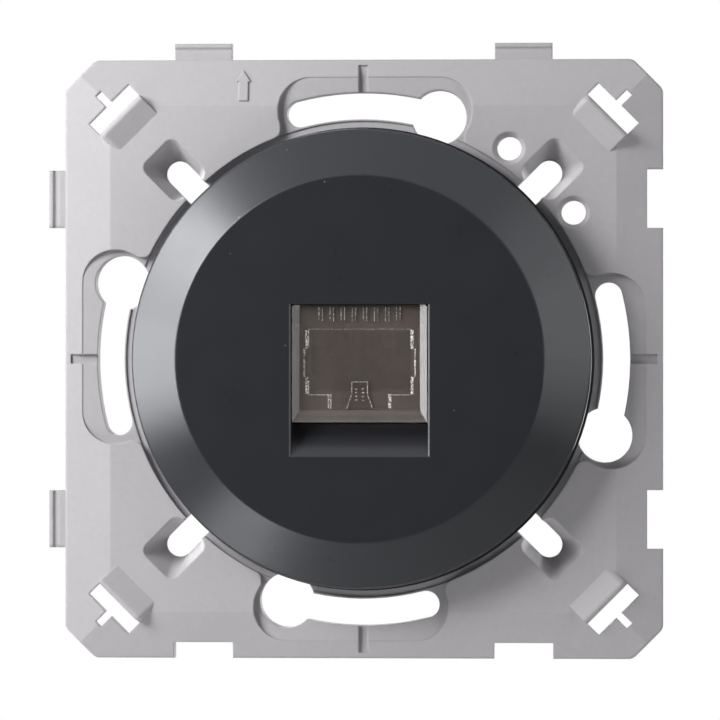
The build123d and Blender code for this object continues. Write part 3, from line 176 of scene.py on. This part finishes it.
def smoked(name, tint, roughness):
    """Smoky see-through plastic with flow marks, a slightly wavy skin, uneven gloss and trapped dust."""
    s = Shader(name)
    flow = s.ramp(s.noise(260, 4, (1.0, 1.0, 0.35)), 0.3, 0.7, 0.0, 1.0)
    tone = s.mix(flow, shaded(tint, 0.85), tint)
    specks = s.spots(1500, 0.05, 0.05)
    s.link(s.mix(specks, tone, (0.8, 0.78, 0.75)), s.bsdf.inputs["Base Color"])
    s.link(s.ramp(s.noise(700, 3), 0.3, 0.7, roughness * 0.7, roughness * 1.3), s.bsdf.inputs["Roughness"])
    s.link(s.bump(s.noise(1400, 3), 0.01 * MM), s.bsdf.inputs["Normal"])
    s.bsdf.inputs["Transmission Weight"].default_value = 0.8
    s.bsdf.inputs["IOR"].default_value = 1.5
    return s


# Radius of the frame's edges, in millimetres; the ganging tabs on its left, past TAB_START, are rounder
FRAME_EDGE = 0.25
TAB_EDGE = 0.7
TAB_START = -35.6
TAB_BLEND = 0.1

finishes = {
    "frame_plastic": moulded(
        "frame_plastic", (0.50, 0.485, 0.506), 0.5, 0.06, 0.012, FRAME_EDGE, specular=0.25,
    ),
    "cover_plastic": moulded(
        "cover_plastic", (0.0235, 0.0245, 0.0290), 0.29, 0.05, 0.004, 0.12, dust=0.4,
    ),
    "carrier_plastic": moulded("carrier_plastic", (0.03, 0.03, 0.034), 0.45),
    "insert_plastic": moulded("insert_plastic", (0.035, 0.035, 0.036), 0.4),
    "terminal_plastic": moulded("terminal_plastic", (0.55, 0.55, 0.53), 0.45),
    "manager_plastic": moulded("manager_plastic", (0.42, 0.43, 0.45), 0.4),
    "board_green": moulded("board_green", (0.015, 0.10, 0.04), 0.3, 0.15),
    "spring_steel": metal("spring_steel", (0.62, 0.61, 0.59), 0.25),
    "die_cast": metal("die_cast", (0.60, 0.59, 0.57), 0.38, 0.02, 0.15),
    "contact_gold": metal("contact_gold", (0.90, 0.66, 0.28), 0.22, stretch=(1.0, 0.1, 1.0)),
    "blade_tin": metal("blade_tin", (0.72, 0.72, 0.70), 0.3),
    "shutter_smoke": smoked("shutter_smoke", (0.335, 0.290, 0.262), 0.2),
}
finishes["cover_plastic"].bsdf.inputs["Specular Tint"].default_value = (0.95, 0.97, 1.0, 1.0)

frame_shader = finishes["frame_plastic"]
place = frame_shader.node("ShaderNodeSeparateXYZ")
frame_shader.link(frame_shader.coordinates, place.inputs["Vector"])
edge_there = frame_shader.ramp(
    place.outputs["X"], (TAB_START - TAB_BLEND) * MM, TAB_START * MM, TAB_EDGE * MM, FRAME_EDGE * MM,
)
frame_shader.link(edge_there, frame_shader.worn.inputs["Radius"])

slot_of = {part["node"]: part["material_slot"] for part in frame["record"]["subparts"]}
for name, node in frame["nodes"].items():
    node.data.materials.clear()
    node.data.materials.append(finishes[slot_of[name]].material)


# Frosted film on the walls and raised marks of the shutter's plug contour, in millimetres.
# Its pale colour is painted highlight, where light catches these walls
FILM_T = 0.03
FILM_LIFT = 0.012
FIELD_DEPTH = 0.6           # from the shutter's foremost point to the flat field round the contour
CONTOUR_DEPTH = 0.22
FIELD_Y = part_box("shutter")[0][1] / MM + FIELD_DEPTH
FLOOR_Y = FIELD_Y + CONTOUR_DEPTH
WALL_SPREAD = 0.185         # how far outside the contour its leaning walls reach the field
EAR_X = 6.4                 # sides of the contour's two shallow ears
SHORTEST = 0.5              # shorter steps of the contour carry no film
WALL_SECTION = [(0.0, FLOOR_Y), (WALL_SPREAD, FIELD_Y)]
WIDE_SECTION = [(-0.1, FLOOR_Y), *WALL_SECTION, (WALL_SPREAD + 0.12, FIELD_Y)]
LEVEL_SECTION = [(0.03, FLOOR_Y - 0.036), (0.14, FIELD_Y + 0.054)]
CONTOUR = [
    (-3.43, -5.8), (-3.43, -4.11), (-6.05, -4.11), (-6.05, -2.1), (-EAR_X, -2.1), (-EAR_X, 1.2),
    (-6.05, 1.2), (-6.05, 3.42), (6.05, 3.42), (6.05, 1.2), (EAR_X, 1.2), (EAR_X, -2.1), (6.05, -2.1),
    (6.05, -4.11), (3.43, -4.11), (3.43, -5.8),
]
# Marks: the outline of the latch slot, two columns of ticks inside it, and a row of ribs above the contour
LATCH = [(-1.6, -5.8), (-1.0, -4.11), (-1.0, -2.6), (1.0, -2.6), (1.0, -4.11), (1.6, -5.8)]
LATCH_SECTION = [(-0.14, FIELD_Y), (-0.02, FIELD_Y)]
TICK_X = 0.4
TICK_HALF = 0.15
TICK_ROWS = 4
TICK_TOP = -3.5
TICK_PITCH = 0.44
TICK_SECTION = [(-0.07, FIELD_Y), (0.07, FIELD_Y)]
RIB_COUNT = 8
RIB_PITCH = 1.3
RIB_EDGE = 0.21
RIB_Z = (4.42, 6.08)
RIB_HEIGHT = 0.22
RIB_Y = FIELD_Y - RIB_HEIGHT
RIB_SECTION = [(-0.04, RIB_Y), (0.04, RIB_Y)]
frost_vertices = []
frost_faces = []
frost_slots = []


def film(start, end, section, faint=True):
    """A strip of film from start to end; section lists points by distance left of that line and depth."""
    line = Vector(end) - Vector(start)
    left = Vector((-line.y, line.x)).normalized()
    first = len(frost_vertices)
    outline = [(s, y - FILM_LIFT) for s, y in section]
    outline += [(s, y - FILM_LIFT + FILM_T) for s, y in reversed(section)]
    count = len(outline)
    for x, z in (start, end):
        frost_vertices.extend(
            ((x + left.x * s) * MM, y * MM, (z + left.y * s) * MM) for s, y in outline
        )
    for n in range(count):
        after = (n + 1) % count
        frost_faces.append((first + n, first + after, first + count + after, first + count + n))
    frost_faces.append(tuple(range(first, first + count)))
    frost_faces.append(tuple(range(first + 2 * count - 1, first + count - 1, -1)))
    frost_slots.extend([int(faint)] * (count + 2))


for start, end in zip(CONTOUR, CONTOUR[1:]):
    if start[0] == end[0] and abs(start[0]) == EAR_X:
        film(start, end, WALL_SECTION, faint=False)
    elif start[0] == end[0] and abs(start[1] - end[1]) > SHORTEST:
        film(start, end, WIDE_SECTION, faint=False)
    elif abs(start[0] - end[0]) > SHORTEST:
        film(start, end, LEVEL_SECTION)
for start, end in zip(LATCH, LATCH[1:]):
    film(start, end, LATCH_SECTION)
for side in (-TICK_X, TICK_X):
    for row in range(TICK_ROWS):
        z = TICK_TOP - TICK_PITCH * row
        film((side - TICK_HALF, z), (side + TICK_HALF, z), TICK_SECTION)
for rib in range(RIB_COUNT):
    x = (rib - (RIB_COUNT - 1) / 2) * RIB_PITCH
    for edge in (x - RIB_EDGE, x + RIB_EDGE):
        film((edge, RIB_Z[0]), (edge, RIB_Z[1]), RIB_SECTION)

frost_mesh = bpy.data.meshes.new("contour_highlight_film")
frost_mesh.from_pydata(frost_vertices, [], frost_faces)
frost_mesh.polygons.foreach_set("material_index", frost_slots)
# Painted highlight, speckled over the smoky tone: bright on the contour's upright walls, which face the
# side lamps, and faint on its level walls and on the marks
for name, brightest in (("frost_bright", 0.86), ("frost_faint", 0.48)):
    frost = Shader(name)
    speckled_highlight = frost.ramp(frost.noise(6000, 4), 0.46, 0.57, 0.0, 1.0)
    lit = (brightest, brightest * 0.97, brightest * 0.94)
    frost.link(frost.mix(speckled_highlight, (0.07, 0.06, 0.055), lit), frost.bsdf.inputs["Base Color"])
    frost.link(frost.ramp(frost.noise(3000, 2), 0.3, 0.7, 0.35, 0.6), frost.bsdf.inputs["Roughness"])
    frost.link(frost.bump(frost.noise(9000, 2), 0.04 * MM), frost.bsdf.inputs["Normal"])
    frost_mesh.materials.append(frost.material)
contour_highlight_film = bpy.data.objects.new("contour_highlight_film", frost_mesh)
scene.collection.objects.link(contour_highlight_film)
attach(contour_highlight_film, "shutter")


# Closing spring, in millimetres: a leg in the cover's pocket, turns and a tang in the shutter's trunnion
PIVOT = (-9.55, 4.95)       # Y and Z of the shutter's axis
COIL_R = 0.74
WIRE_R = 0.13
COIL_START = -11.24
COIL_END = -9.84
COIL_TURNS = 5.25
STEPS_PER_TURN = 20
LEG_END = 3.83              # Z
TANG_END = -8.76            # X
BEND = 0.25                 # length of the turn, and of the tang, that the bend between them takes up
BEND_STEPS = 6


def tube(name, line, radius, sides=10):
    """A closed round wire along points in millimetres; its ring is carried along without twist."""
    centres = [Vector(point) for point in line]
    steps = [(b - a).normalized() for a, b in zip(centres, centres[1:])]
    along = [steps[0]] + [(a + b).normalized() for a, b in zip(steps, steps[1:])] + [steps[-1]]
    across = along[0].orthogonal().normalized()
    vertices = []
    for centre, forward in zip(centres, along):
        across = (across - forward * across.dot(forward)).normalized()
        up = forward.cross(across)
        for side in range(sides):
            angle = math.tau * side / sides
            vertices.append((centre + radius * (math.cos(angle) * across + math.sin(angle) * up)) * MM)
    faces = []
    for ring in range(len(centres) - 1):
        for side in range(sides):
            a = ring * sides + side
            b = ring * sides + (side + 1) % sides
            faces.append((a, b, b + sides, a + sides))
    faces.append(tuple(reversed(range(sides))))
    faces.append(tuple(range(len(vertices) - sides, len(vertices))))
    mesh = bpy.data.meshes.new(name)
    mesh.from_pydata(vertices, [], faces)
    mesh.polygons.foreach_set("use_smooth", [True] * (len(faces) - 2) + [False] * 2)
    made = bpy.data.objects.new(name, mesh)
    scene.collection.objects.link(made)
    return made


def on_coil(turned):
    """Point of the coil after that many turns from the leg."""
    angle = math.tau * turned
    return Vector((
        COIL_START + (COIL_END - COIL_START) * turned / COIL_TURNS,
        PIVOT[0] + COIL_R * math.cos(angle),
        PIVOT[1] + COIL_R * math.sin(angle),
    ))


coil_stop = COIL_TURNS - BEND / (math.tau * COIL_R)
coil_steps = round(coil_stop * STEPS_PER_TURN)
wire = [Vector((COIL_START, PIVOT[0] + COIL_R, LEG_END))]
wire += [on_coil(coil_stop * step / coil_steps) for step in range(coil_steps + 1)]
bend_start = wire[-1]
corner = on_coil(COIL_TURNS)
bend_end = corner + Vector((BEND, 0.0, 0.0))
for step in range(1, BEND_STEPS + 1):
    t = step / BEND_STEPS
    wire.append(bend_start.lerp(corner, t).lerp(corner.lerp(bend_end, t), t))
wire.append(Vector((TANG_END, corner.y, corner.z)))
closing_spring = tube("closing_spring", wire, WIRE_R)
closing_spring.data.materials.append(finishes["spring_steel"].material)
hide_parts("shutter_spring")
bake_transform(closing_spring)


def plate(name, corners, shader):
    """A flat four-cornered piece of the studio, which isn't part of the object."""
    mesh = bpy.data.meshes.new(name)
    mesh.from_pydata(corners, [], [(0, 1, 2, 3)])
    mesh.materials.append(shader.material)
    made = bpy.data.objects.new(name, mesh)
    scene.collection.objects.link(made)
    return made


# Pale floor below the view. To the camera it is a given tone with a lit one on top, so it stays near white
FLOOR_HALF = 2.2
FLOOR_Z = -0.2
FLOOR_TONE = 0.85           # for all rays but the camera's
FLOOR_LIT = 0.5
FLOOR_GIVEN = 0.86
pale = Shader("floor_pale")
is_camera = pale.node("ShaderNodeLightPath").outputs["Is Camera Ray"]
floor_tone = pale.mix(is_camera, (FLOOR_TONE,) * 3, (FLOOR_LIT,) * 3)
pale.link(floor_tone, pale.bsdf.inputs["Base Color"])
pale.link(pale.ramp(is_camera, 0.0, 1.0, 0.0, FLOOR_GIVEN), pale.bsdf.inputs["Emission Strength"])
pale.bsdf.inputs["Emission Color"].default_value = (1.0, 1.0, 1.0, 1.0)
pale.bsdf.inputs["Roughness"].default_value = 0.9
pale.bsdf.inputs["Specular IOR Level"].default_value = 0.0
square = ((-1, -1), (1, -1), (1, 1), (-1, 1))
plate("floor", [(x * FLOOR_HALF, y * FLOOR_HALF, FLOOR_Z) for x, y in square], pale)

# Dark card behind the camera, which only reflections see
CARD_HALF_X = 0.35
CARD_HALF_Z = 0.3
CARD_Y = -0.9
dark = Shader("front_card_surface")
dark.bsdf.inputs["Base Color"].default_value = (0.03, 0.03, 0.03, 1.0)
dark.bsdf.inputs["Roughness"].default_value = 0.8
card = plate("front_card", [(x * CARD_HALF_X, CARD_Y, z * CARD_HALF_Z) for x, z in square], dark)
card.visible_camera = False
card.visible_diffuse = False
card.visible_shadow = False
card.visible_transmission = False

# World: white to the camera, to reflections and through glass, and a weaker ambient light
AMBIENT = 0.08
world = bpy.data.worlds.new("studio")
scene.world = world
world.use_nodes = True
tree = world.node_tree
path = tree.nodes.new("ShaderNodeLightPath")
seen = path.outputs["Is Camera Ray"]
for ray in ("Is Glossy Ray", "Is Transmission Ray"):
    either = tree.nodes.new("ShaderNodeMath")
    either.operation = "MAXIMUM"
    tree.links.new(seen, either.inputs[0])
    tree.links.new(path.outputs[ray], either.inputs[1])
    seen = either.outputs[0]
shade = tree.nodes.new("ShaderNodeMix")
shade.data_type = "RGBA"
tree.links.new(seen, shade.inputs["Factor"])
unseen_colour, seen_colour = [socket for socket in shade.inputs if socket.type == "RGBA"]
unseen_colour.default_value = (AMBIENT, AMBIENT, AMBIENT, 1.0)
seen_colour.default_value = (1.0, 1.0, 1.0, 1.0)
shade_out = next(socket for socket in shade.outputs if socket.type == "RGBA")
tree.links.new(shade_out, tree.nodes["Background"].inputs["Color"])


def direction(polar, around):
    """Direction polar degrees off the front, at around degrees from the right, upwards."""
    p, r = math.radians(polar), math.radians(around)
    return Vector((math.sin(p) * math.cos(r), -math.cos(p), math.sin(p) * math.sin(r)))


# Share of each lamp's light that passes the see-through shutter, whose solid would cast a full shadow
PASSING = 0.3
see_through = bpy.data.collections.new("see_through")
for piece in (frame["nodes"]["shutter"], contour_highlight_film):
    see_through.objects.link(piece)
for entry in see_through.collection_objects:
    entry.light_linking.link_state = "EXCLUDE"


def lamp(name, towards, distance, size, power, gloss_of=()):
    """A square soft box that stands at distance in a direction from the object and faces it.

    A twin in the same place gives the share that passes the shutter. Where gloss_of names nodes, both give
    gloss alone: the lamp to all of these nodes, and its twin to the first.
    """
    for suffix, share in (("", 1 - PASSING), ("_passing", PASSING)):
        data = bpy.data.lights.new(name + suffix, "AREA")
        data.shape = "SQUARE"
        data.size = size
        data.energy = power * share
        made = bpy.data.objects.new(name + suffix, data)
        scene.collection.objects.link(made)
        made.location = towards * distance
        made.rotation_euler = (-made.location).to_track_quat("-Z", "Y").to_euler()
        if gloss_of:
            made.visible_diffuse = False
            lit = bpy.data.collections.new(name + suffix + "_lights")
            for node in gloss_of[:1] if suffix else gloss_of:
                lit.objects.link(frame["nodes"][node])
            made.light_linking.receiver_collection = lit
        if suffix:
            made.light_linking.blocker_collection = see_through


lamp("key", direction(58, 150), 0.25, 0.12, 0.779)
lamp("sheen", direction(74, 182), 0.25, 0.12, 0.565, gloss_of=("cover", "shutter"))
lamp("right", direction(72, 0), 0.4, 0.25, 0.346)
lamp("right_top", direction(72, 30), 0.25, 0.12, 0.058)
lamp("left_low", direction(67, 240), 0.25, 0.12, 0.205)
lamp("back_left", direction(150, 150), 0.45, 0.35, 1.4)
lamp("back_right", direction(145, 10), 0.45, 0.3, 0.9)

# Camera: far off, level and a few degrees to the right
CAMERA_DISTANCE = 0.65
CAMERA_TURN = 3.3
SENSOR = 36.0
PICTURE = 720               # pixels from side to side
PIXELS_PER_MM = 8.45        # scale of that picture at the target
camera_data = bpy.data.cameras.new("camera")
camera = bpy.data.objects.new("camera", camera_data)
scene.collection.objects.link(camera)
target = Vector((-0.33 * MM, -3.8 * MM, -0.12 * MM))
turn = math.radians(CAMERA_TURN)
camera.location = target + CAMERA_DISTANCE * Vector((math.sin(turn), -math.cos(turn), 0.0))
camera.rotation_euler = (target - camera.location).to_track_quat("-Z", "Y").to_euler()
camera_data.sensor_width = SENSOR
camera_data.lens = SENSOR * CAMERA_DISTANCE / MM * PIXELS_PER_MM / PICTURE
scene.camera = camera
scene.view_settings.view_transform = "Standard"
